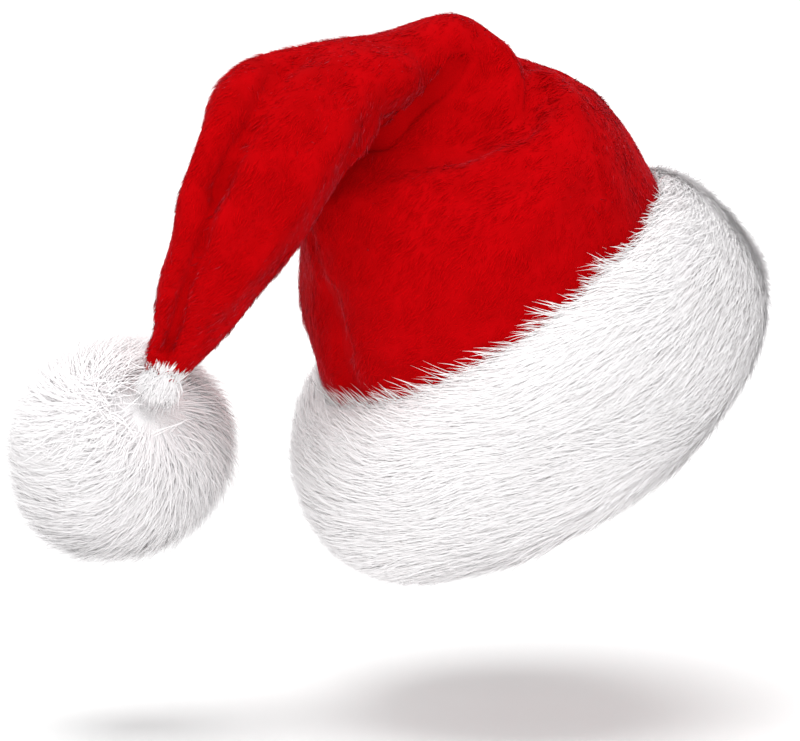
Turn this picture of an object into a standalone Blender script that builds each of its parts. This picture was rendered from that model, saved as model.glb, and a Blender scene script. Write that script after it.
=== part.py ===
"""Plush Santa hat worn at a lean: a red cone folded over to one side, a white fur
brim around its lower edge and a white fur ball on its tip.

Metres, +Z up, +X to the wearer's-left side seen from the front, +Y away from the
front.  The origin is the middle of the head opening.

The hat is drawn upright in its own axes (across, back, up) in millimetres and is
then leaned as a whole.
"""
import math

import bpy
import numpy as np

for old in list(bpy.data.objects):
    bpy.data.objects.remove(old, do_unlink=True)

# ---------------------------------------------------------------- dimensions (mm)
MM = 0.001
AROUND = 48            # vertices around every ring
STEPS = 2              # rings per row of the section table
WALL = 2.0             # plush cloth with its backing
CREASE_WALL = 1.0      # the cloth where it is pinched at the left end of the crease
CREASE_ROW, CREASE_ANGLE = 7.7, 212.0
CREASE_ROWS, CREASE_DEGREES = 1.1, 30.0    # how far the pinch reaches
GAP = 0.5              # clearance between neighbouring pieces

NOD = 30.0             # degrees: the crown's top comes forward
LEAN = 33.0            # degrees: the right side is raised
TIP_BACK = 10.0        # degrees: the whole leaned hat tips back

BRIM_DEPTH = 27.0      # fur thickness outside the cloth
BRIM_HEIGHT = 76.0     # mean height of the fur band
BRIM_HEIGHT_FRONT = 17.0   # extra height in front, less behind
BRIM_HEIGHT_LEFT = -2.0    # extra height on the left, less on the right

BALL_RADII = (55.5, 54.0, 54.0)
BALL_CENTRE = (-180.3, -6.0, 114.6)
BALL_DIMPLE = 10.5     # depth of the hollow that takes the cone's tip
BALL_DIMPLE_WIDTH = 22.0   # degrees

# The red cone: one row per cross-section from the head opening to the tip.
# across, back, up: centre of the section.  half_width, half_depth: its semi-axes.
# roll, yaw: how the long axis is turned.  pitch: how far the section has folded over.
SECTION_COLUMNS = ("across", "back", "up", "half_width", "half_depth", "roll", "yaw", "pitch")
SECTIONS = [
    (0.0, 0.0, 4.0, 95.5, 93.5, 0.0, 0.0, 0.0),           # head opening
    (3.0, 0.0, 48.0, 94.0, 92.0, 0.0, 0.0, 0.0),
    (11.6, 0.0, 102.6, 89.4, 88.0, -0.3, 0.0, 0.0),
    (17.1, 0.0, 132.4, 80.0, 81.5, 1.0, 0.0, 2.0),
    (16.6, 0.0, 150.2, 70.0, 69.5, -2.1, 0.0, 6.0),
    (14.8, 1.0, 164.8, 62.4, 56.0, -6.4, 0.0, 16.0),
    (14.4, 1.0, 179.8, 61.2, 42.5, -10.3, 0.0, 30.0),
    (4.2, 1.0, 192.3, 60.5, 32.0, -19.6, 1.0, 50.0),
    (-13.0, -4.5, 210.9, 50.1, 27.0, -32.3, 4.0, 78.0),   # top of the fold
    (-23.7, -16.0, 220.3, 42.3, 24.5, -36.7, 7.0, 106.0),
    (-34.3, -28.5, 216.7, 40.3, 24.0, -36.9, 7.0, 124.0),
    (-51.0, -38.0, 209.5, 37.1, 23.5, -36.5, 6.0, 136.0),
    (-67.5, -43.5, 200.1, 33.8, 22.5, -37.0, 5.0, 145.0),
    (-85.5, -44.5, 188.5, 29.6, 20.5, -39.1, 4.0, 150.0),
    (-106.7, -42.5, 175.0, 22.8, 17.0, -43.1, 2.0, 150.0),
    (-123.8, -39.0, 162.3, 16.4, 13.0, -48.3, 0.0, 150.0),
    (-138.1, -36.0, 152.7, 11.0, 9.5, -52.3, 0.0, 150.0),
    (-146.4, -34.0, 145.2, 7.8, 7.0, -55.5, 0.0, 150.0),  # tip
]

# Folds, dents and rolls of the cone.  Each runs from (row0, angle0) to (row1, angle1)
# on the surface: row as in the section table, angle in degrees around the section
# (0 right, 90 back or outer, 180 left, 270 front or inner).  half_width in rows.
FOLD_COLUMNS = ("row0", "angle0", "row1", "angle1", "half_width", "height")
FOLDS = [
    (6.7, 42, 8.4, 26, 0.75, 9.0),       # knot where the cone turns over
    (8.7, 98, 11.6, 138, 0.65, -7.0),    # wide valley of the hanging part
    (11.6, 138, 15.4, 124, 0.48, -4.0),  # the valley narrows to the tip
    (8.7, 42, 14.0, 75, 0.60, 4.0),      # front roll beside the valley
    (5.6, 318, 7.2, 338, 0.70, 2.5),     # puff between the knot and the front
    (8.6, 135, 11.5, 185, 0.70, 2.5),    # back lobe
    (9.6, 262, 10.3, 292, 0.60, -4.5),   # underside pressed in by the front
    (6.8, 226, 7.3, 236, 0.45, -2.0),    # front pressed in by the underside
    (7.1, 202, 7.6, 204, 0.55, 2.0),     # left end of the fold stays full
    (4.6, 342, 6.4, 305, 0.50, -5.5),    # valley below the knot
    (3.9, 340, 5.5, 300, 0.45, 4.0),     # raised ridge under that valley
    (3.5, 262, 4.3, 240, 0.80, -3.0),    # soft dents of the front
    (2.3, 300, 2.9, 318, 0.60, -2.5),
    (1.9, 206, 3.0, 194, 0.30, -2.5),    # seam pull on the left
    (3.4, 60, 4.4, 120, 0.80, -3.0),     # soft dents of the back
    (2.6, 150, 3.6, 100, 0.60, 2.5),
]

# The fur brim's cross-section, from its lower inner edge outwards, up and back in.
# out: share of BRIM_DEPTH outside the cloth.  up: share of the band's height.
BRIM_COLUMNS = ("out", "up")
BRIM_PROFILE = [
    (0.02, 0.03),
    (0.22, -0.03),
    (0.52, -0.045),
    (0.80, 0.01),
    (0.97, 0.11),
    (1.03, 0.25),
    (1.01, 0.42),
    (0.92, 0.60),
    (0.74, 0.77),
    (0.48, 0.91),
    (0.22, 0.98),
    (0.06, 1.00),
    (0.02, 0.97),
    (0.02, 0.66),
    (0.02, 0.34),
]

# Slow unevenness of the brim's outer face and of the ball: waves around and height.
BRIM_WAVES = [(2, 40.0, 1.6), (3, 200.0, 1.2), (5, 95.0, 0.9)]
BALL_WAVES = [((1.4, 0.5, 0.9), 0.4, 1.0), ((-0.6, 1.6, 0.8), 1.9, 0.9), ((0.9, -1.1, 1.8), 4.0, 0.9)]


# ---------------------------------------------------------------- shape functions
def section_values(t, table=np.array(SECTIONS, float)):
    """Smooth (Catmull-Rom) reading of the section table at rows t."""
    t = np.clip(np.asarray(t, float), 0, len(table) - 1)
    i = np.minimum(t.astype(int), len(table) - 2)
    u = (t - i)[:, None]
    p = np.vstack([2 * table[0] - table[1], table, 2 * table[-1] - table[-2]])
    a, b, c, d = p[i], p[i + 1], p[i + 2], p[i + 3]
    return 0.5 * (2 * b + (c - a) * u + (2 * a - 5 * b + 4 * c - d) * u ** 2 + (3 * b - 3 * c + d - a) * u ** 3)


def section_axes(v):
    """Long axis and short axis of each section."""
    roll, yaw, pitch = (np.radians(v[:, i]) for i in (5, 6, 7))
    wide = np.stack([np.cos(roll) * np.cos(yaw), np.sin(yaw), np.sin(roll) * np.cos(yaw)], 1)
    back = np.array([0.0, 1.0, 0.0])
    thin = back - wide * (wide @ back)[:, None]
    thin /= np.linalg.norm(thin, axis=1)[:, None]
    along = np.cross(wide, thin)
    return wide, thin * np.cos(pitch)[:, None] + along * np.sin(pitch)[:, None]


def fold_height(t, angle):
    """Raised or sunken height of the cloth at row t and angle (radians)."""
    total = 0.0 * t + 0.0 * angle
    for row0, deg0, row1, deg1, half, height in FOLDS:
        y0, y1 = deg0 / 30.0, deg1 / 30.0
        dt, dy = row1 - row0, y1 - y0
        mid = (y0 + y1) / 2
        y = mid + (np.degrees(angle) / 30.0 - mid + 6) % 12 - 6
        u = np.clip(((t - row0) * dt + (y - y0) * dy) / (dt * dt + dy * dy), 0, 1)
        gone = (t - row0 - u * dt) ** 2 + (y - y0 - u * dy) ** 2
        total = total + height * np.exp(-gone / half ** 2)
    return total


def plain_cone(t, angle):
    """Points of the cone before its dents and rolls, one per (row, angle) pair."""
    v = section_values(t)
    wide, thin = section_axes(v)
    return (v[:, :3] + wide * (v[:, 3] * np.cos(angle))[:, None]
            + thin * (v[:, 4] * np.sin(angle))[:, None])


def outward(surface, t, angle, dt=0.02, da=0.01):
    """Unit normals of a surface(t, angle)."""
    t = np.clip(t, dt, len(SECTIONS) - 1 - dt)
    around = surface(t, angle + da) - surface(t, angle - da)
    along = surface(t + dt, angle) - surface(t - dt, angle)
    n = np.cross(around, along)
    return n / np.linalg.norm(n, axis=1)[:, None]


def folded_cone(t, angle):
    return plain_cone(t, angle) + outward(plain_cone, t, angle) * fold_height(t, angle)[:, None]


def cone(t, angle, outset=0.0):
    """Grid of points of the cone's cloth (rows t by angles), moved out by outset."""
    tt, aa = np.meshgrid(np.asarray(t, float), np.asarray(angle, float), indexing="ij")
    tt, aa = tt.ravel(), aa.ravel()
    p = folded_cone(tt, aa)
    p = p + outward(folded_cone, tt, aa) * (np.zeros_like(tt) + outset)[:, None]
    return p.reshape(len(t), len(angle), 3)


def wall_thickness(t, angle):
    """Cloth thickness on a grid of rows t by angles, flattened."""
    tt, aa = np.meshgrid(t, np.degrees(angle), indexing="ij")
    pinch = np.exp(-((tt - CREASE_ROW) / CREASE_ROWS) ** 2
                   - ((aa - CREASE_ANGLE) / CREASE_DEGREES) ** 2)
    return (WALL - (WALL - CREASE_WALL) * pinch).ravel()


def turn(axis, degrees):
    c, s = math.cos(math.radians(degrees)), math.sin(math.radians(degrees))
    i, j = (axis + 1) % 3, (axis + 2) % 3
    m = np.eye(3)
    m[i, i] = m[j, j] = c
    m[i, j], m[j, i] = -s, s
    return m


LEANED = turn(0, -TIP_BACK) @ turn(1, -LEAN) @ turn(0, NOD)


def leaned(points):
    return np.asarray(points) @ LEANED.T * MM


def angles(n=AROUND):
    return np.arange(n) * 2 * math.pi / n


# ---------------------------------------------------------------- mesh helpers
def ring_faces(first, second, n=AROUND):
    return [(first + j, first + (j + 1) % n, second + (j + 1) % n, second + j) for j in range(n)]


def add_object(name, verts, faces, material):
    mesh = bpy.data.meshes.new(name)
    mesh.from_pydata([tuple(map(float, p)) for p in verts], [], faces)
    mesh.validate()
    mesh.polygons.foreach_set("use_smooth", [True] * len(mesh.polygons))
    mesh.materials.append(material)
    mesh.update()
    ob = bpy.data.objects.new(name, mesh)
    bpy.context.scene.collection.objects.link(ob)
    return ob


def cloth(name, colour, roughness):
    mat = bpy.data.materials.new(name)
    mat.use_nodes = True
    shader = mat.node_tree.nodes["Principled BSDF"]
    shader.inputs["Base Color"].default_value = (*colour, 1.0)
    shader.inputs["Roughness"].default_value = roughness
    shader.inputs["Metallic"].default_value = 0.0
    mat.diffuse_color = (*colour, 1.0)
    return mat


# ---------------------------------------------------------------- pieces
def build_crown():
    """Hollow red cone, open at the head and closed at its tip."""
    last = len(SECTIONS) - 1
    outer_t = np.linspace(0, last, last * STEPS + 1)
    inner_t = np.append(outer_t[:-1], last - 0.25)
    ang = angles()
    outer = cone(outer_t, ang)
    inner = cone(inner_t, ang, -wall_thickness(inner_t, ang))
    verts = np.concatenate([outer.reshape(-1, 3), inner.reshape(-1, 3)])
    base = len(outer_t) * AROUND
    faces = []
    for i in range(len(outer_t) - 1):
        faces += ring_faces(i * AROUND, (i + 1) * AROUND)
        faces += [tuple(reversed(f)) for f in ring_faces(base + i * AROUND, base + (i + 1) * AROUND)]
    faces += [tuple(reversed(f)) for f in ring_faces(0, base)]
    # rounded end of the outside and flat end of the inside
    tip_axis = outer[-1].mean(0) - outer[-2].mean(0)
    tip_axis /= np.linalg.norm(tip_axis)
    middle = outer[-1].mean(0)
    dome = middle + (outer[-1] - middle) * 0.62 + tip_axis * 3.0
    peak = middle + tip_axis * 4.2
    n = len(verts)
    verts = np.concatenate([verts, dome, [peak], [inner[-1].mean(0)]])
    top = (len(outer_t) - 1) * AROUND
    faces += ring_faces(top, n)
    faces += [(n + j, n + (j + 1) % AROUND, n + AROUND) for j in range(AROUND)]
    low = base + (len(inner_t) - 1) * AROUND
    faces += [(low + (j + 1) % AROUND, low + j, n + AROUND + 1) for j in range(AROUND)]
    return add_object("crown", leaned(verts), faces, cloth("red_plush", (0.515, 0.003, 0.008), 0.85))


def row_at_height(height):
    t = np.linspace(0, 4, 161)
    return np.interp(height, section_values(t)[:, 2], t)


def build_brim():
    """Fur band around the cone's lower edge, drawn as its outer form."""
    ang = angles()
    rings = []
    height = BRIM_HEIGHT - BRIM_HEIGHT_FRONT * np.sin(ang) - BRIM_HEIGHT_LEFT * np.cos(ang)
    wave = sum(h * np.sin(k * ang + math.radians(p)) for k, p, h in BRIM_WAVES)
    for out, up in BRIM_PROFILE:
        ring = []
        for j, a in enumerate(ang):
            level = up * height[j]
            t = row_at_height(level)
            offset = GAP + out * (BRIM_DEPTH + wave[j])
            p = cone([t], [a], offset)[0, 0]
            if level < 4.0:
                p[2] = level
            ring.append(p)
        rings.append(ring)
    verts = np.array(rings).reshape(-1, 3)
    faces = []
    for i in range(len(rings)):
        faces += ring_faces(i * AROUND, ((i + 1) % len(rings)) * AROUND)
    return add_object("brim", leaned(verts), faces, cloth("white_brim_fur", (0.86, 0.83, 0.85), 0.9))


def build_pompom():
    """Fur ball with a dimple for the cone's tip, drawn as its outer form."""
    centre = np.array(BALL_CENTRE)
    tip = cone([len(SECTIONS) - 1], angles())[0].mean(0)
    toward = (tip - centre) / np.linalg.norm(tip - centre)
    side = np.cross(toward, (0.0, 0.0, 1.0))
    side /= np.linalg.norm(side)
    other = np.cross(toward, side)
    rings, around = 20, 32
    verts = []

    def ball(direction):
        d = np.array(direction)
        r = 1.0 / math.sqrt(sum((d[k] / BALL_RADII[k]) ** 2 for k in range(3)))
        r += sum(h * math.sin(float(np.dot(w, d)) * 2.0 + p) for w, p, h in BALL_WAVES)
        off = math.degrees(math.acos(max(-1.0, min(1.0, float(d @ toward)))))
        r -= BALL_DIMPLE * math.exp(-(off / BALL_DIMPLE_WIDTH) ** 2)
        return centre + d * r

    for i in range(1, rings):
        polar = math.pi * i / rings
        for a in angles(around):
            verts.append(ball(toward * math.cos(polar)
                              + (side * math.cos(a) + other * math.sin(a)) * math.sin(polar)))
    verts += [ball(toward), ball(-toward)]
    n = (rings - 1) * around
    faces = []
    for i in range(rings - 2):
        faces += [tuple(reversed(f)) for f in ring_faces(i * around, (i + 1) * around, around)]
    faces += [(n, j, (j + 1) % around) for j in range(around)]
    low = (rings - 2) * around
    faces += [(n + 1, low + (j + 1) % around, low + j) for j in range(around)]
    return add_object("pompom", leaned(verts), faces, cloth("white_ball_fur", (0.82, 0.79, 0.81), 0.9))


build_crown()
build_brim()
build_pompom()
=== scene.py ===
"""Looks of the plush Santa hat: red pile over the folded cone, white fur on the brim and the ball."""

import math

import bpy
import numpy as np
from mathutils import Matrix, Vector, kdtree


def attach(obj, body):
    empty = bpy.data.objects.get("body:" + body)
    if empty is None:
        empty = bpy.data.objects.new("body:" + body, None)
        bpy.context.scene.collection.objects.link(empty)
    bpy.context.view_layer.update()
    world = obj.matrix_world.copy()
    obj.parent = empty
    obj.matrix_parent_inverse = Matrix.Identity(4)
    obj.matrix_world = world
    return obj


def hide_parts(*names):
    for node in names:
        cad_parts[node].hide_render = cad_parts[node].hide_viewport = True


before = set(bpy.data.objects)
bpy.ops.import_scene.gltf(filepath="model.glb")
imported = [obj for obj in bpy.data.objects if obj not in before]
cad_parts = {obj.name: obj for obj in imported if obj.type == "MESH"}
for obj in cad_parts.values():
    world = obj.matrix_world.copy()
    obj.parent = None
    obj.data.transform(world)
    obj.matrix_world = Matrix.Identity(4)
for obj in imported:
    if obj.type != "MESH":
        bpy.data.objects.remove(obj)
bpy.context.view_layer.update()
RNG = np.random.default_rng(20261127)

# ---------------------------------------------------------------- the cone's form (mm)
MM = 0.001
NOD, LEAN, TIP_BACK = 30.0, 33.0, 10.0
WALL = 2.0
BRIM_DEPTH, BRIM_HEIGHT, BRIM_HEIGHT_FRONT, BRIM_HEIGHT_LEFT = 27.0, 76.0, 17.0, -2.0
BALL_RADII = (55.5, 54.0, 54.0)
BALL_CENTRE = (-180.3, -6.0, 114.6)
BALL_DIMPLE, BALL_DIMPLE_WIDTH = 10.5, 22.0

# across, back, up, half_width, half_depth, roll, yaw, pitch
SECTIONS = [
    (0.0, 0.0, 4.0, 95.5, 93.5, 0.0, 0.0, 0.0),
    (3.0, 0.0, 48.0, 94.0, 92.0, 0.0, 0.0, 0.0),
    (11.6, 0.0, 102.6, 89.4, 88.0, -0.3, 0.0, 0.0),
    (17.1, 0.0, 132.4, 80.0, 81.5, 1.0, 0.0, 2.0),
    (16.6, 0.0, 150.2, 70.0, 69.5, -2.1, 0.0, 6.0),
    (14.8, 1.0, 164.8, 62.4, 56.0, -6.4, 0.0, 16.0),
    (14.4, 1.0, 179.8, 61.2, 42.5, -10.3, 0.0, 30.0),
    (4.2, 1.0, 192.3, 60.5, 32.0, -19.6, 1.0, 50.0),
    (-13.0, -4.5, 210.9, 50.1, 27.0, -32.3, 4.0, 78.0),
    (-23.7, -16.0, 220.3, 42.3, 24.5, -36.7, 7.0, 106.0),
    (-34.3, -28.5, 216.7, 40.3, 24.0, -36.9, 7.0, 124.0),
    (-51.0, -38.0, 209.5, 37.1, 23.5, -36.5, 6.0, 136.0),
    (-67.5, -43.5, 200.1, 33.8, 22.5, -37.0, 5.0, 145.0),
    (-85.5, -44.5, 188.5, 29.6, 20.5, -39.1, 4.0, 150.0),
    (-106.7, -42.5, 175.0, 22.8, 17.0, -43.1, 2.0, 150.0),
    (-123.8, -39.0, 162.3, 16.4, 13.0, -48.3, 0.0, 150.0),
    (-138.1, -36.0, 152.7, 11.0, 9.5, -52.3, 0.0, 150.0),
    (-146.4, -34.0, 145.2, 7.8, 7.0, -55.5, 0.0, 150.0),
]
# row0, angle0, row1, angle1, half_width, height
FOLDS = [
    (6.7, 42, 8.4, 26, 0.75, 9.0),
    (8.7, 98, 11.6, 138, 0.65, -7.0),
    (11.6, 138, 15.4, 124, 0.48, -4.0),
    (8.7, 42, 14.0, 75, 0.60, 4.0),
    (5.6, 318, 7.2, 338, 0.70, 2.5),
    (8.6, 135, 11.5, 185, 0.70, 2.5),
    (9.6, 262, 10.3, 292, 0.60, -4.5),
    (6.8, 226, 7.3, 236, 0.45, -2.0),
    (7.1, 202, 7.6, 204, 0.55, 2.0),
    (4.6, 342, 6.4, 305, 0.50, -5.5),
    (3.9, 340, 5.5, 300, 0.45, 4.0),
    (3.5, 262, 4.3, 240, 0.80, -3.0),
    (2.3, 300, 2.9, 318, 0.60, -2.5),
    (1.9, 206, 3.0, 194, 0.30, -2.5),
    (3.4, 60, 4.4, 120, 0.80, -3.0),
    (2.6, 150, 3.6, 100, 0.60, 2.5),
]
# Finer folds that only the cloth's look has: valleys, ridges and the two side seams.
FINE_FOLDS = [
    (8.9, 108, 11.4, 138, 0.34, -3.0),   # sharper bed of the tail's valley
    (11.6, 138, 15.4, 124, 0.22, -2.0),
    (5.3, 326, 6.9, 288, 0.60, -3.0),    # broad valley below the knot
    (4.8, 338, 6.4, 305, 0.26, 2.6),
    (3.9, 338, 5.6, 288, 0.45, 1.5),
    (4.35, 355, 4.7, 345, 0.50, 5.5),    # the knot runs on into the dome
    (5.6, 352, 5.9, 340, 0.35, -2.5),
    (8.9, -4, 10.4, 14, 0.50, 4.5),      # the roll's edge hangs over the slit
    (8.45, 20, 9.3, 26, 0.50, 4.0),
    (0.8, 204, 2.2, 204, 0.13, -2.2),    # left seam
    (2.2, 204, 3.2, 194, 0.13, -2.2),
    (3.2, 194, 5.0, 190, 0.12, -1.6),
    (1.6, 8, 3.4, 10, 0.12, -1.6),       # right seam
    (3.4, 10, 5.2, 8, 0.12, -1.8),
    (5.2, 246, 5.9, 262, 0.28, -1.4),    # short creases of the front
    (4.4, 214, 5.2, 226, 0.25, -1.2),
    (2.0, 232, 3.1, 244, 0.35, -1.3),
    (1.9, 330, 2.6, 346, 0.35, -1.4),
    (3.0, 282, 3.4, 296, 0.35, 1.2),
    (9.6, 60, 10.6, 72, 0.3, -1.2),      # dents of the tail's roll
    (12.2, 82, 13.0, 92, 0.3, -1.2),
]
# The deep slit under the hanging part, from the knot down to where the roll crosses the dome.
SLIT = [
    (7.42, 15, 7.66, 5, 0.15, -11.0),
    (7.66, 5, 7.88, -7, 0.15, -9.0),
    (7.88, -7, 8.08, -20, 0.16, -9.0),
    (8.08, -20, 8.10, -40, 0.17, -8.0),
    (8.10, -40, 7.90, -62, 0.18, -6.0),
]
SLIT_SHADE_DEPTH = -6.5    # cloth deeper than this gets painted shade: a near-black colour standing in for the shadow in the slit
BRIM_PROFILE = [
    (0.02, 0.03), (0.22, -0.03), (0.52, -0.045), (0.80, 0.01), (0.97, 0.11), (1.03, 0.25),
    (1.01, 0.42), (0.92, 0.60), (0.74, 0.77), (0.48, 0.91), (0.22, 0.98), (0.06, 1.00),
    (0.02, 0.97), (0.02, 0.66), (0.02, 0.34),
]
BRIM_WAVES = [(2, 40.0, 1.6), (3, 200.0, 1.2), (5, 95.0, 0.9)]
BALL_WAVES = [((1.4, 0.5, 0.9), 0.4, 1.0), ((-0.6, 1.6, 0.8), 1.9, 0.9), ((0.9, -1.1, 1.8), 4.0, 0.9)]


def section_values(t, table=np.array(SECTIONS, float)):
    t = np.clip(np.asarray(t, float), 0, len(table) - 1)
    i = np.minimum(t.astype(int), len(table) - 2)
    u = (t - i)[:, None]
    p = np.vstack([2 * table[0] - table[1], table, 2 * table[-1] - table[-2]])
    a, b, c, d = p[i], p[i + 1], p[i + 2], p[i + 3]
    return 0.5 * (2 * b + (c - a) * u + (2 * a - 5 * b + 4 * c - d) * u ** 2 + (3 * b - 3 * c + d - a) * u ** 3)


def section_axes(v):
    roll, yaw, pitch = (np.radians(v[:, i]) for i in (5, 6, 7))
    wide = np.stack([np.cos(roll) * np.cos(yaw), np.sin(yaw), np.sin(roll) * np.cos(yaw)], 1)
    back = np.array([0.0, 1.0, 0.0])
    thin = back - wide * (wide @ back)[:, None]
    thin /= np.linalg.norm(thin, axis=1)[:, None]
    along = np.cross(wide, thin)
    return wide, thin * np.cos(pitch)[:, None] + along * np.sin(pitch)[:, None]


def fold_height(t, angle, folds=FOLDS):
    total = 0.0 * t + 0.0 * angle
    for row0, deg0, row1, deg1, half, height in folds:
        y0, y1 = deg0 / 30.0, deg1 / 30.0
        dt, dy = row1 - row0, y1 - y0
        mid = (y0 + y1) / 2
        y = mid + (np.degrees(angle) / 30.0 - mid + 6) % 12 - 6
        u = np.clip(((t - row0) * dt + (y - y0) * dy) / (dt * dt + dy * dy), 0, 1)
        gone = (t - row0 - u * dt) ** 2 + (y - y0 - u * dy) ** 2
        total = total + height * np.exp(-gone / half ** 2)
    return total


def plain_cone(t, angle):
    v = section_values(t)
    wide, thin = section_axes(v)
    return (v[:, :3] + wide * (v[:, 3] * np.cos(angle))[:, None]
            + thin * (v[:, 4] * np.sin(angle))[:, None])


def outward(surface, t, angle, dt=0.02, da=0.01):
    t = np.clip(t, dt, len(SECTIONS) - 1 - dt)
    around = surface(t, angle + da) - surface(t, angle - da)
    along = surface(t + dt, angle) - surface(t - dt, angle)
    n = np.cross(around, along)
    return n / np.linalg.norm(n, axis=1)[:, None]


def folded_cone(t, angle):
    return plain_cone(t, angle) + outward(plain_cone, t, angle) * fold_height(t, angle)[:, None]


def cone(t, angle, outset=0.0):
    tt, aa = np.meshgrid(np.asarray(t, float), np.asarray(angle, float), indexing="ij")
    tt, aa = tt.ravel(), aa.ravel()
    p = folded_cone(tt, aa)
    p = p + outward(folded_cone, tt, aa) * (np.zeros_like(tt) + outset)[:, None]
    return p.reshape(len(t), len(angle), 3)


def turn(axis, degrees):
    c, s = math.cos(math.radians(degrees)), math.sin(math.radians(degrees))
    i, j = (axis + 1) % 3, (axis + 2) % 3
    m = np.eye(3)
    m[i, i] = m[j, j] = c
    m[i, j], m[j, i] = -s, s
    return m


LEANED = turn(0, -TIP_BACK) @ turn(1, -LEAN) @ turn(0, NOD)


def leaned(points):
    return np.asarray(points) @ LEANED.T * MM


# ---------------------------------------------------------------- helpers
LATTICE = np.random.default_rng(7).random((32, 32, 32)) * 2 - 1


def noise(p, size, shift=0.0):
    """Smooth random value from -1 to 1 at points p (metres), with features of that size."""
    q = p / size + shift
    i = np.floor(q).astype(int)
    f = q - i
    f = f * f * (3 - 2 * f)
    total = 0.0
    for dx in (0, 1):
        for dy in (0, 1):
            for dz in (0, 1):
                w = (f[..., 0] if dx else 1 - f[..., 0]) * (f[..., 1] if dy else 1 - f[..., 1]) * (f[..., 2] if dz else 1 - f[..., 2])
                total = total + w * LATTICE[(i[..., 0] + dx) % 32, (i[..., 1] + dy) % 32, (i[..., 2] + dz) % 32]
    return total


def unit(v):
    return v / np.maximum(np.linalg.norm(v, axis=-1, keepdims=True), 1e-9)


def grid_normals(P):
    """Outward normals of a grid (rows, closed around) of points."""
    around = np.roll(P, -1, 1) - np.roll(P, 1, 1)
    along = np.gradient(P, axis=0)
    return unit(np.cross(around, along))


def make_mesh(name, verts, tris, normals, uvs, material):
    """Triangle mesh with its own soft normals and one UV map for its colour."""
    mesh = bpy.data.meshes.new(name)
    mesh.vertices.add(len(verts))
    mesh.vertices.foreach_set("co", np.asarray(verts, np.float32).ravel())
    mesh.loops.add(len(tris) * 3)
    mesh.loops.foreach_set("vertex_index", np.asarray(tris, np.int32).ravel())
    mesh.polygons.add(len(tris))
    mesh.polygons.foreach_set("loop_start", np.arange(len(tris), dtype=np.int32) * 3)
    mesh.polygons.foreach_set("use_smooth", np.ones(len(tris), bool))
    mesh.update(calc_edges=True)
    layer = mesh.uv_layers.new(name="OFBake")
    flat = np.asarray(tris).ravel()
    layer.data.foreach_set("uv", np.asarray(uvs, np.float32)[flat].ravel())
    if normals is not None:
        mesh.normals_split_custom_set_from_vertices(np.asarray(normals, np.float32))
    mesh.materials.append(material)
    ob = bpy.data.objects.new(name, mesh)
    bpy.context.scene.collection.objects.link(ob)
    return ob


def grid_tris(rows, cols, base=0, flip=False):
    r, c = np.meshgrid(np.arange(rows - 1), np.arange(cols), indexing="ij")
    a = base + r * cols + c
    b = base + r * cols + (c + 1) % cols
    d = a + cols
    e = b + cols
    t = np.concatenate([np.stack([a, b, e], -1).reshape(-1, 3), np.stack([a, e, d], -1).reshape(-1, 3)])
    return t[:, ::-1] if flip else t


def scatter(P, N, count, weight=None):
    """Random points spread evenly over a closed-around grid: places, normals, row and column."""
    right = np.roll(P, -1, 1)
    area = np.linalg.norm(np.cross(right[:-1] - P[:-1], P[1:] - P[:-1]), axis=-1)
    if weight is not None:
        area = area * weight[:-1]
    p = area.ravel() / area.sum()
    cell = RNG.choice(len(p), count, p=p)
    r, c = cell // P.shape[1], cell % P.shape[1]
    u, v = RNG.random(count), RNG.random(count)
    c2 = (c + 1) % P.shape[1]

    def mix(G):
        return (G[r, c] * ((1 - u) * (1 - v))[:, None] + G[r, c2] * (u * (1 - v))[:, None]
                + G[r + 1, c] * ((1 - u) * v)[:, None] + G[r + 1, c2] * (u * v)[:, None])
    return mix(P), unit(mix(N)), r + v, (c + u) % P.shape[1]


def tangent(direction, normal):
    d = direction - normal * np.sum(direction * normal, -1, keepdims=True)
    return unit(d)


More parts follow.
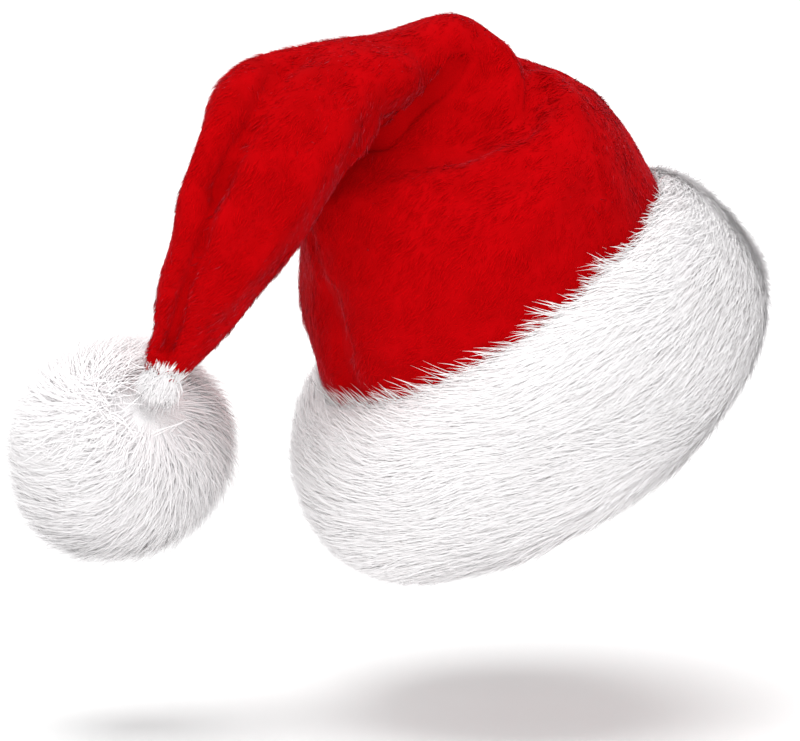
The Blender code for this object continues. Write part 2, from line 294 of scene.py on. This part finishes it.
def strands(name, root, normal, comb, length, width, lift, droop, curl, segments, material,
            clump=0, pull=0.4, rough=0.08, sink=0.0008, roll=0.25):
    """Tapered ribbons: each leaves its root at an angle, bends back and ends in a point."""
    n = len(root)
    side = unit(np.cross(normal, comb))
    s = np.linspace(0, 1, segments + 1)
    path = (root[:, None] - normal[:, None] * sink
            + comb[:, None] * (length[:, None] * s * np.cos(lift)[:, None])[..., None]
            + normal[:, None] * (length[:, None] * (np.sin(lift)[:, None] * s - droop[:, None] * s ** 2))[..., None]
            + side[:, None] * (length[:, None] * curl[:, None] * s ** 2)[..., None])
    if clump:
        picked = RNG.choice(n, max(1, n // clump), replace=False)
        tree = kdtree.KDTree(len(picked))
        for k, i in enumerate(picked):
            tree.insert(Vector(root[i]), k)
        tree.balance()
        near = np.array([tree.find(Vector(p))[1] for p in root])
        lead = picked[near]
        share = (pull * (0.5 + RNG.random(n)))[:, None] * s ** 1.4
        path = path * (1 - share[..., None]) + path[lead] * share[..., None]
    taper = np.array({4: [1.0, 0.95, 0.75, 0.45], 3: [1.0, 0.9, 0.6], 2: [1.0, 0.8]}[segments])
    rolled = unit(side + normal * (RNG.normal(0, roll, n))[:, None])
    half = rolled[:, None] * (width[:, None] * 0.5 * taper)[..., None]
    left = path[:, :-1] - half
    right = path[:, :-1] + half
    per = 2 * segments + 1
    verts = np.empty((n, per, 3))
    verts[:, 0:2 * segments:2] = left
    verts[:, 1:2 * segments:2] = right
    verts[:, -1] = path[:, -1]
    faces = []
    for k in range(segments - 1):
        a = 2 * k
        faces += [(a, a + 2, a + 3), (a, a + 3, a + 1)]
    faces += [(2 * segments - 2, 2 * segments, 2 * segments - 1)]
    faces = np.array(faces)
    # the ribbon's front looks outwards
    test = verts[0][faces[0]]
    if np.dot(np.cross(test[1] - test[0], test[2] - test[0]), normal[0]) < 0:
        faces = faces[:, ::-1]
    tris = (np.arange(n)[:, None, None] * per + faces[None]).reshape(-1, 3)
    rough = np.broadcast_to(rough, (n,))[:, None]
    jitter = unit(normal + RNG.normal(0, 1, (n, 3)) * rough + comb * RNG.normal(0, 1, (n, 1)) * rough)
    normals = np.repeat(jitter, per, 0)
    shade = 0.03 + 0.94 * RNG.random(n)
    along = np.empty(per)
    along[0:2 * segments:2] = along[1:2 * segments:2] = s[:-1]
    along[-1] = 1.0
    uv = np.empty((n, per, 2))
    uv[..., 0] = shade[:, None]
    uv[:, 0:2 * segments:2, 0] -= 0.003
    uv[:, 1:2 * segments:2, 0] += 0.003
    uv[..., 1] = 0.02 + 0.96 * along[None]
    return make_mesh(name, verts.reshape(-1, 3), tris, normals, uv.reshape(-1, 2), material)


# ---------------------------------------------------------------- materials
def shader_of(name, colour, roughness, sheen, sheen_rough, tint):
    mat = bpy.data.materials.new(name)
    mat.use_nodes = True
    s = mat.node_tree.nodes["Principled BSDF"]
    s.inputs["Base Color"].default_value = (*colour, 1)
    s.inputs["Roughness"].default_value = roughness
    s.inputs["Specular IOR Level"].default_value = 0.02
    s.inputs["Sheen Weight"].default_value = sheen
    s.inputs["Sheen Roughness"].default_value = sheen_rough
    s.inputs["Sheen Tint"].default_value = (*tint, 1)
    return mat, s


def pile_material(name, colour, root, tip, roughness, sheen, tint, spread):
    """Strand colour: darker at the root and lighter at the tip, the lighter tips being a painted sheen, and a little
    different on each strand.
    """
    mat, s = shader_of(name, colour, roughness, sheen, 0.3, tint)
    nt = mat.node_tree
    uv = nt.nodes.new("ShaderNodeUVMap")
    uv.uv_map = "OFBake"
    split = nt.nodes.new("ShaderNodeSeparateXYZ")
    nt.links.new(uv.outputs["UV"], split.inputs[0])
    # Painted sheen: the ramp lightens each strand from root to tip.
    ramp = nt.nodes.new("ShaderNodeValToRGB")
    ramp.color_ramp.elements[0].color = (*root, 1)
    ramp.color_ramp.elements[1].color = (*tip, 1)
    ramp.color_ramp.elements[1].position = 0.8
    nt.links.new(split.outputs["Y"], ramp.inputs["Fac"])
    white = nt.nodes.new("ShaderNodeTexWhiteNoise")
    white.noise_dimensions = "1D"
    step = nt.nodes.new("ShaderNodeMath")
    step.operation = "SNAP"
    step.inputs[1].default_value = 0.02
    nt.links.new(split.outputs["X"], step.inputs[0])
    nt.links.new(step.outputs[0], white.inputs["W"])
    scale = nt.nodes.new("ShaderNodeMapRange")
    scale.inputs["To Min"].default_value = 1 - spread
    scale.inputs["To Max"].default_value = 1 + spread
    nt.links.new(white.outputs["Value"], scale.inputs["Value"])
    mult = nt.nodes.new("ShaderNodeVectorMath")
    mult.operation = "SCALE"
    nt.links.new(ramp.outputs["Color"], mult.inputs[0])
    nt.links.new(scale.outputs["Result"], mult.inputs["Scale"])
    nt.links.new(mult.outputs["Vector"], s.inputs["Base Color"])
    return mat


def cloth_material(name, dark, light, roughness, sheen, tint, size, height):
    """Cloth under the pile: mottled colour and a fine uneven surface."""
    mat, s = shader_of(name, light, roughness, sheen, 0.5, tint)
    nt = mat.node_tree
    co = nt.nodes.new("ShaderNodeTexCoord")
    tex = nt.nodes.new("ShaderNodeTexNoise")
    tex.inputs["Scale"].default_value = size
    tex.inputs["Detail"].default_value = 5.0
    nt.links.new(co.outputs["Object"], tex.inputs["Vector"])
    ramp = nt.nodes.new("ShaderNodeValToRGB")
    ramp.color_ramp.elements[0].position, ramp.color_ramp.elements[1].position = 0.3, 0.7
    ramp.color_ramp.elements[0].color = (*dark, 1)
    ramp.color_ramp.elements[1].color = (*light, 1)
    nt.links.new(tex.outputs["Fac"], ramp.inputs["Fac"])
    nt.links.new(ramp.outputs["Color"], s.inputs["Base Color"])
    fine = nt.nodes.new("ShaderNodeTexNoise")
    fine.inputs["Scale"].default_value = 900.0
    fine.inputs["Detail"].default_value = 3.0
    nt.links.new(co.outputs["Object"], fine.inputs["Vector"])
    bump = nt.nodes.new("ShaderNodeBump")
    bump.inputs["Strength"].default_value = 0.6
    bump.inputs["Distance"].default_value = height
    nt.links.new(fine.outputs["Fac"], bump.inputs["Height"])
    nt.links.new(bump.outputs["Normal"], s.inputs["Normal"])
    return mat


RED_SKIN = cloth_material("red_plush_backing", (0.36, 0.0002, 0.001), (0.48, 0.0004, 0.002), 0.9, 0.03, (1.0, 0.2, 0.3), 60.0, 0.0004)
# Painted shade: a near-black red for the slit's bed, standing in for the shadow deep in the fold.
RED_SLIT_SHADE = cloth_material("red_plush_slit_shade", (0.045, 0.0002, 0.0008), (0.09, 0.0004, 0.0015), 1.0, 0.0, (1.0, 0.2, 0.3), 90.0, 0.0004)
# Pile colours: middle, root and tip; the lighter tip colour is a painted sheen.
RED_PILE = pile_material("red_plush_pile", (0.52, 0.0004, 0.002), (0.42, 0.0002, 0.001), (0.58, 0.0005, 0.0025), 0.9, 0.30, (1.0, 0.26, 0.38), 0.08)
WHITE_SKIN = cloth_material("white_fur_backing", (0.92, 0.90, 0.91), (0.96, 0.945, 0.95), 0.9, 0.05, (1.0, 1.0, 1.0), 80.0, 0.0008)
BRIM_PILE = pile_material("white_brim_pile", (0.97, 0.955, 0.96), (0.96, 0.945, 0.95), (0.98, 0.965, 0.97), 0.8, 0.40, (1.0, 1.0, 1.0), 0.006)
BALL_PILE = pile_material("white_ball_pile", (0.96, 0.94, 0.95), (0.95, 0.93, 0.94), (0.97, 0.955, 0.96), 0.8, 0.40, (1.0, 1.0, 1.0), 0.008)

# ---------------------------------------------------------------- red cloth
LAST = len(SECTIONS) - 1
COLS = 168
t_out = np.concatenate([np.linspace(0, 7, 62, endpoint=False), np.linspace(7, 9, 44, endpoint=False), np.linspace(9, LAST, 86)])
ROWS = len(t_out)
ang = np.arange(COLS) * 2 * math.pi / COLS
tt, aa = (g.ravel() for g in np.meshgrid(t_out, ang, indexing="ij"))
base_points = folded_cone(tt, aa)
base_normals = outward(folded_cone, tt, aa)
w = leaned(base_points)
slit = fold_height(tt, aa, SLIT)
relief = fold_height(tt, aa, FINE_FOLDS) + slit
relief = relief + 0.9 * noise(w, 0.030) + 0.55 * noise(w, 0.013, 3.3)
seams = np.exp(-(((np.degrees(aa) - 200 + 180) % 360 - 180) / 9) ** 2) + np.exp(-(((np.degrees(aa) - 9 + 180) % 360 - 180) / 9) ** 2)
relief = relief + seams * 1.1 * noise(w, 0.008, 9.1) * (tt < 6)
relief = relief * np.clip((LAST - tt) / 1.5, 0.15, 1)
outer = leaned(base_points + base_normals * relief[:, None]).reshape(ROWS, COLS, 3)
slit = slit.reshape(ROWS, COLS)
outer_n = grid_normals(outer)
IN_ROWS, IN_COLS = LAST * 3 + 1, 72
t_in = np.linspace(0, LAST - 0.25, IN_ROWS)
a_in = np.arange(IN_COLS) * 2 * math.pi / IN_COLS
inner = leaned(cone(t_in, a_in, -WALL).reshape(-1, 3)).reshape(IN_ROWS, IN_COLS, 3)
inner_n = -grid_normals(inner)

verts = [outer.reshape(-1, 3), inner.reshape(-1, 3)]
norms = [outer_n.reshape(-1, 3), inner_n.reshape(-1, 3)]
uvo = np.stack([np.tile(np.arange(COLS) / COLS, ROWS), np.repeat(np.linspace(0.01, 0.69, ROWS), COLS)], 1)
uvi = np.stack([np.tile(np.arange(IN_COLS) / IN_COLS, IN_ROWS), np.repeat(np.linspace(0.71, 0.99, IN_ROWS), IN_COLS)], 1)
tris = [grid_tris(ROWS, COLS), grid_tris(IN_ROWS, IN_COLS, ROWS * COLS, flip=True)]
# rounded tip
axis = unit(outer[-1].mean(0) - outer[-3].mean(0))
mid = outer[-1].mean(0)
dome = mid + (outer[-1] - mid) * 0.62 + axis * 0.003
count = ROWS * COLS + IN_ROWS * IN_COLS
verts += [dome, (mid + axis * 0.0042)[None]]
norms += [unit((outer[-1] - mid) + axis * 0.01), axis[None]]
tris += [np.stack([(ROWS - 1) * COLS + np.arange(COLS), (ROWS - 1) * COLS + (np.arange(COLS) + 1) % COLS, count + (np.arange(COLS) + 1) % COLS], 1),
         np.stack([(ROWS - 1) * COLS + np.arange(COLS), count + (np.arange(COLS) + 1) % COLS, count + np.arange(COLS)], 1),
         np.stack([count + np.arange(COLS), count + (np.arange(COLS) + 1) % COLS, np.full(COLS, count + COLS)], 1)]
# lower edge between outside and inside
ring_in = leaned(cone([0.0], ang, -WALL)[0])
start = count + COLS + 1
verts.append(ring_in)
norms.append(np.tile(leaned([[0, 0, -1.0]])[0] / MM, (COLS, 1)))
k = np.arange(COLS)
tris += [np.stack([k, start + k, (k + 1) % COLS], 1), np.stack([(k + 1) % COLS, start + k, start + (k + 1) % COLS], 1)]
extra = len(dome) + 1 + COLS
uv_extra = np.stack([np.linspace(0, 1, extra), np.full(extra, 0.7)], 1)
skin = make_mesh("crown_cloth", np.concatenate(verts), np.concatenate(tris), np.concatenate(norms),
                 np.concatenate([uvo, uvi, uv_extra]), RED_SKIN)
# The slit's painted shade is a second material, given to the faces deep in the slit.
skin.data.materials.append(RED_SLIT_SHADE)
corner = np.zeros(len(skin.data.polygons) * 3, np.int32)
skin.data.loops.foreach_get("vertex_index", corner)
slit_shade_faces = np.zeros(len(skin.data.vertices), bool)
slit_shade_faces[:ROWS * COLS] = slit.ravel() < SLIT_SHADE_DEPTH
skin.data.polygons.foreach_set("material_index", slit_shade_faces[corner.reshape(-1, 3)].all(1).astype(np.int32))

# ---------------------------------------------------------------- red pile
pieces = [skin]
brim_row = 0.55
# Few strands below the brim's row, and none deep in the slit, so the slit's painted shade shows there.
weight = np.where(t_out[:, None] + 0 * ang[None] < brim_row, 0.05, 1.0) * (slit > -4.5)
LEFT_DOWN = np.array([-0.62, -0.12, -0.78])
tip_flow = unit(np.gradient(outer, axis=0))
RED_EACH = 60000
for part in range(2):
    root, nrm, rr, cc = scatter(outer, outer_n, RED_EACH, weight)
    flow = tangent(np.tile(LEFT_DOWN, (len(root), 1)) + 0.35 * np.stack([noise(root, 0.028, 1.7), noise(root, 0.028, 5.1), noise(root, 0.028, 8.3)], 1)
                   + RNG.normal(0, 0.15, (len(root), 3)), nrm)
    m = len(root)
    row = np.interp(rr, np.arange(ROWS), t_out)
    length = (0.0046 + 0.0022 * RNG.random(m)) * (1 + 0.25 * noise(root, 0.012, 2.2))
    near_tip = np.clip((LAST - row) / 1.2, 0.45, 1)
    piece = strands(f"crown_pile_{part + 1}", root, nrm, flow, length * near_tip, np.full(m, 0.00044) * (0.7 + 0.6 * RNG.random(m)),
                    np.radians(RNG.normal(24, 6, m)), 0.16 + 0.10 * RNG.random(m), RNG.normal(0, 0.12, m), 2, RED_PILE,
                    clump=22, pull=0.45, rough=0.10 + 0.11 * np.clip((row - 7.5) / 1.5, 0, 1))
    pieces.append(piece)
for p in pieces:
    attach(p, "root")
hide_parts("crown")


# ---------------------------------------------------------------- brim
def row_at_height(height):
    t = np.linspace(0, 4, 161)
    return np.interp(height, section_values(t)[:, 2], t)


def brim_grid(rows, cols, inset):
    """The fur band's surface, inset millimetres inside its full outer form."""
    a = np.arange(cols) * 2 * math.pi / cols
    prof = np.array(BRIM_PROFILE)
    closed = np.vstack([prof[-1], prof, prof[0], prof[1]])
    u = np.linspace(0, len(prof), rows, endpoint=True)
    i = np.minimum(u.astype(int), len(prof) - 1)
    f = (u - i)[:, None]
    p0, p1, p2, p3 = closed[i], closed[i + 1], closed[i + 2], closed[np.minimum(i + 3, len(closed) - 1)]
    pr = 0.5 * (2 * p1 + (p2 - p0) * f + (2 * p0 - 5 * p1 + 4 * p2 - p3) * f ** 2 + (3 * p1 - 3 * p2 + p3 - p0) * f ** 3)
    height = BRIM_HEIGHT - BRIM_HEIGHT_FRONT * np.sin(a) - BRIM_HEIGHT_LEFT * np.cos(a)
    wave = sum(h * np.sin(k * a + math.radians(q)) for k, q, h in BRIM_WAVES)
    out = np.zeros((rows, cols, 3))
    for r, (o, up) in enumerate(pr):
        low = np.clip(up, 0, 1)
        level = up * height + inset * (0.5 - low) * 1.2
        off = 0.5 + max(o, 0.0) * (BRIM_DEPTH - inset + wave + 4.5 * np.exp(-((np.degrees(a) - 195) / 40) ** 2))
        t = row_at_height(np.maximum(level, 4.0))
        p = folded_cone(t, a) + outward(folded_cone, t, a) * off[:, None]
        under = level < 4.0
        p[under, 2] = level[under]
        out[r] = p
    return leaned(out.reshape(-1, 3)).reshape(rows, cols, 3)


B_ROWS, B_COLS = 46, 120
band = brim_grid(B_ROWS, B_COLS, 4.0)
band_n = grid_normals(band)
ring_mid = band.mean(0)
if np.mean(np.sum(band_n[10:24] * (band[10:24] - ring_mid), -1)) < 0:
    band_n = -band_n
    flip = True
else:
    flip = False
uvb = np.stack([np.tile(np.arange(B_COLS) / B_COLS, B_ROWS), np.repeat(np.linspace(0.01, 0.99, B_ROWS), B_COLS)], 1)
brim_skin = make_mesh("brim_backing", band.reshape(-1, 3), grid_tris(B_ROWS, B_COLS, 0, flip), band_n.reshape(-1, 3), uvb, WHITE_SKIN)
pieces = [brim_skin]
rows_u = np.linspace(0, len(BRIM_PROFILE), B_ROWS)
share = np.where(rows_u < 1.0, 0.35, np.where(rows_u > 12.0, 0.0, 1.0))
share = share + 0.9 * np.exp(-((rows_u - 10.3) / 1.3) ** 2)
wb = np.repeat(share[:, None], B_COLS, 1)
UP = LEANED @ np.array([0, 0, 1.0])
EACH = 37000
for part in range(2):
    root, nrm, rr, cc = scatter(band, band_n, EACH, wb)
    m = len(root)
    u = rr / (B_ROWS - 1) * len(BRIM_PROFILE)
    a = cc / B_COLS * 2 * math.pi
    around = (np.stack([-np.sin(a), np.cos(a), np.zeros(m)], 1)) @ LEANED.T
    top = np.clip((u - 7.5) / 3.0, 0, 1)[:, None]
    wander = np.stack([noise(root, 0.035, 1.1), noise(root, 0.035, 4.4), noise(root, 0.035, 7.7)], 1)
    wisp = (RNG.random(m) < 0.2)[:, None]
    comb = -around * 0.90 + UP * (0.20 + (0.10 + 0.5 * wisp) * top) + 0.35 * wander + RNG.normal(0, 0.12, (m, 3))
    comb = tangent(comb, nrm)
    length = (0.017 + 0.009 * RNG.random(m)) * (1 + 0.25 * noise(root, 0.02, 6.1))
    back_side = np.exp(-((np.degrees(a) - 60) / 45) ** 2)
    length = length * (1 - 0.30 * np.clip(1.6 - u, 0, 1)) * (1 - 0.55 * top[:, 0] * (1 - wisp[:, 0])) * (1 - 0.35 * back_side)
    lift = np.radians(RNG.normal(11, 4, m))
    droop = 0.08 + 0.06 * RNG.random(m)
    piece = strands(f"brim_fur_{part + 1}", root, nrm, comb, length, 0.00050 * (0.6 + 0.8 * RNG.random(m)),
                    lift, droop, RNG.normal(0, 0.09, m), 3, BRIM_PILE, clump=30, pull=0.18, rough=0.010, sink=0.0006, roll=0.10)
    pieces.append(piece)
for p in pieces:
    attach(p, "root")
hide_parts("brim")

# ---------------------------------------------------------------- ball
centre = np.array(BALL_CENTRE)
tip = cone([LAST], ang)[0].mean(0)
toward = unit(tip - centre)
side1 = unit(np.cross(toward, (0.0, 0.0, 1.0)))
side2 = np.cross(toward, side1)
P_ROWS, P_COLS = 34, 64


def ball_grid(inset):
    polar = np.linspace(0.001, math.pi - 0.001, P_ROWS)
    az = np.arange(P_COLS) * 2 * math.pi / P_COLS
    pp, zz = np.meshgrid(polar, az, indexing="ij")
    d = (toward * np.cos(pp)[..., None] + side1 * (np.cos(zz) * np.sin(pp))[..., None] + side2 * (np.sin(zz) * np.sin(pp))[..., None])
    r = 1.0 / np.sqrt(sum((d[..., k] / BALL_RADII[k]) ** 2 for k in range(3)))
    r = r + sum(h * np.sin((d @ np.array(v)) * 2.0 + q) for v, q, h in BALL_WAVES)
    r = r - BALL_DIMPLE * np.exp(-(np.degrees(pp) / BALL_DIMPLE_WIDTH) ** 2) - inset
    return leaned((centre + d * r[..., None]).reshape(-1, 3)).reshape(P_ROWS, P_COLS, 3)


ball = ball_grid(8.5)
ball_n = unit(ball - leaned(centre))
flat = grid_tris(P_ROWS, P_COLS)
c0 = ball.reshape(-1, 3)[flat[2000]]
flip = np.dot(np.cross(c0[1] - c0[0], c0[2] - c0[0]), ball_n.reshape(-1, 3)[flat[2000][0]]) < 0
uvp = np.stack([np.tile(np.arange(P_COLS) / P_COLS, P_ROWS), np.repeat(np.linspace(0.01, 0.99, P_ROWS), P_COLS)], 1)
ball_skin = make_mesh("pompom_core", ball.reshape(-1, 3), grid_tris(P_ROWS, P_COLS, 0, flip), ball_n.reshape(-1, 3), uvp, WHITE_SKIN)
root, nrm, rr, cc = scatter(ball, ball_n, 32000)
m = len(root)
wander = np.stack([noise(root, 0.04, 2.1), noise(root, 0.04, 5.4), noise(root, 0.04, 8.7)], 1)
comb = tangent(np.cross(nrm, unit(np.array([0.35, -1.0, 0.55]))) * 0.9 + np.array([-0.25, 0.0, -0.35]) + 0.55 * wander + RNG.normal(0, 0.22, (m, 3)), nrm)
polar_deg = np.degrees(np.arccos(np.clip(nrm @ (LEANED @ toward), -1, 1)))
near_tip = np.clip((30 - polar_deg) / 14, 0, 1)
comb = tangent(comb * (1 - near_tip)[:, None] + (nrm - LEANED @ toward) * (2.5 * near_tip)[:, None], nrm)
length = (0.018 + 0.011 * RNG.random(m)) * (1 + 0.2 * noise(root, 0.025, 3.1)) * (1 + 0.1 * near_tip)
lift = np.radians(RNG.normal(27, 8, m))
# hairs that lap over the end of the red tail
tip_rows = np.where(t_out[:, None] > 16.40 + 0.22 * outer_n[..., 0], 1.0, 0.0)
root2, nrm2, _, _ = scatter(outer, outer_n, 3000, tip_rows)
k2 = len(root2)
tail_way = unit(LEANED @ (cone([LAST - 2.2], ang)[0].mean(0) - tip))
up_or_down = np.where(RNG.random(k2) < 0.4, 1.0, -1.0)[:, None]
comb2 = tangent(tail_way * up_or_down + RNG.normal(0, 0.25, (k2, 3)), nrm2)
root, nrm, comb = np.concatenate([root, root2]), np.concatenate([nrm, nrm2]), np.concatenate([comb, comb2])
length = np.concatenate([length, 0.005 + 0.005 * RNG.random(k2) + 0.007 * (up_or_down[:, 0] < 0)])
lift = np.concatenate([lift, np.radians(RNG.normal(18, 8, k2))])
m = len(root)
ball_fur = strands("pompom_fur", root, nrm, comb, length, 0.00054 * (0.6 + 0.8 * RNG.random(m)),
                   lift, 0.18 + 0.12 * RNG.random(m), RNG.normal(0, 0.14, m), 3, BALL_PILE,
                   clump=26, pull=0.20, rough=0.012, sink=0.0006, roll=0.12)
for p in (ball_skin, ball_fur):
    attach(p, "root")
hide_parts("pompom")

# ---------------------------------------------------------------- floor, light, camera
FLOOR_Z = -0.148
mesh = bpy.data.meshes.new("floor")
mesh.from_pydata([(-40, -40, FLOOR_Z), (40, -40, FLOOR_Z), (40, 80, FLOOR_Z), (-40, 80, FLOOR_Z)], [], [(0, 1, 2, 3)])
floor = bpy.data.objects.new("floor", mesh)
bpy.context.scene.collection.objects.link(floor)
paint = bpy.data.materials.new("floor_white")
paint.use_nodes = True
fs = paint.node_tree.nodes["Principled BSDF"]
fs.inputs["Base Color"].default_value = (0.93, 0.93, 0.93, 1)
fs.inputs["Roughness"].default_value = 1.0
fs.inputs["Specular IOR Level"].default_value = 0.0
fs.inputs["Emission Color"].default_value = (1, 1, 1, 1)
fs.inputs["Emission Strength"].default_value = 0.10
mesh.materials.append(paint)

world = bpy.data.worlds.new("studio")
world.use_nodes = True
world.node_tree.nodes["Background"].inputs["Color"].default_value = (1, 1, 1, 1)
world.node_tree.nodes["Background"].inputs["Strength"].default_value = 0.58
bpy.context.scene.world = world


def aim(ob, place, at):
    ob.location = place
    ob.rotation_mode = "QUATERNION"
    ob.rotation_quaternion = (Vector(at) - Vector(place)).to_track_quat("-Z", "Y")


def sun(name, strength, angle, place):
    data = bpy.data.lights.new(name, "SUN")
    data.energy, data.angle = strength, math.radians(angle)
    ob = bpy.data.objects.new(name, data)
    bpy.context.scene.collection.objects.link(ob)
    aim(ob, place, (0, 0, 0))
    return ob


def panel(name, watts, size, place, at):
    data = bpy.data.lights.new(name, "AREA")
    data.energy, data.shape, data.size = watts, "SQUARE", size
    ob = bpy.data.objects.new(name, data)
    bpy.context.scene.collection.objects.link(ob)
    aim(ob, place, at)
    return ob


sun("overhead", 1.95, 42, (-0.05, -0.22, 1.0))
panel("front", 17.0, 1.3, (-0.25, -2.4, 0.9), (-0.04, 0, 0.04))

cam_data = bpy.data.cameras.new("camera")
cam = bpy.data.objects.new("camera", cam_data)
bpy.context.scene.collection.objects.link(cam)
E = math.radians(10.0)
place = Vector((0, -math.cos(E), math.sin(E))) * 3.0
target = Vector((-0.0734, math.sin(E) * 0.0199, math.cos(E) * 0.0199))
aim(cam, place, target)
cam_data.sensor_width = 36.0
cam_data.lens = 281.25
cam_data.clip_start, cam_data.clip_end = 0.1, 200.0
bpy.context.scene.camera = cam
bpy.context.scene.view_settings.view_transform = "Standard"
